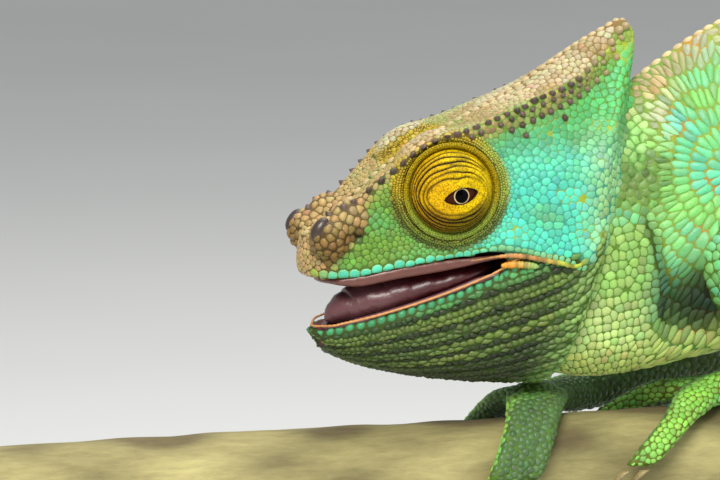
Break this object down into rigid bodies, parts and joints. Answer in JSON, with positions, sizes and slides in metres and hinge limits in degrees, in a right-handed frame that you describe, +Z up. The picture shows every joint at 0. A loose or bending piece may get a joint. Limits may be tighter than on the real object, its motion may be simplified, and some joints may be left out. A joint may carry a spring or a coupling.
{
  "type": "chameleon model on a perch",
  "caption": "Life-size chameleon with a tall pointed casque, turret eyes, open mouth and curled tail, gripping a short branch held up by rods on a flat stand.",
  "frame": {"origin": "centre of the stand base's underside, on the floor", "axes": "+Z up; the animal faces -X along the branch, its left side is towards -Y"},
  "size_m": [0.4002, 0.12, 0.1939],
  "materials": {
    "skin": "satin",
    "eyelid": "satin",
    "eye": "gloss",
    "tongue": "gloss",
    "claw": "satin",
    "bark": "matte",
    "stand_base": "satin",
    "stand_rod": "satin"
  },
  "bodies": {
    "root": {"claw_foot_left_inner_1": "claw", "claw_foot_left_inner_2": "claw", "claw_foot_left_outer_1": "claw", "claw_foot_left_outer_2": "claw", "claw_foot_left_outer_3": "claw", "claw_foot_right_inner_1": "claw", "claw_foot_right_inner_2": "claw", "claw_foot_right_outer_1": "claw", "claw_foot_right_outer_2": "claw", "claw_foot_right_outer_3": "claw", "claw_hand_left_inner_1": "claw", "claw_hand_left_inner_2": "claw", "claw_hand_left_inner_3": "claw", "claw_hand_left_outer_1": "claw", "claw_hand_left_outer_2": "claw", "claw_hand_right_inner_1": "claw", "claw_hand_right_inner_2": "claw", "claw_hand_right_inner_3": "claw", "claw_hand_right_outer_1": "claw", "claw_hand_right_outer_2": "claw", "eyeball_left": "eye", "eyeball_right": "eye", "eyelid_left": "eyelid", "eyelid_right": "eyelid", "foot_left": "skin", "foot_right": "skin", "forearm_left": "skin", "forearm_right": "skin", "hand_left": "skin", "hand_right": "skin", "head": "skin", "lower_jaw": "skin", "neck": "skin", "perch_branch": "bark", "rostral_process_left": "skin", "rostral_process_right": "skin", "shin_left": "skin", "shin_right": "skin", "stand_base": "stand_base", "stand_rod_front": "stand_rod", "stand_rod_rear": "stand_rod", "tail_base": "skin", "tail_coil": "skin", "tail_middle": "skin", "tail_tip": "skin", "thigh_left": "skin", "thigh_right": "skin", "tongue": "tongue", "trunk": "skin", "upper_arm_left": "skin", "upper_arm_right": "skin"}
  },
  "joints": []
}
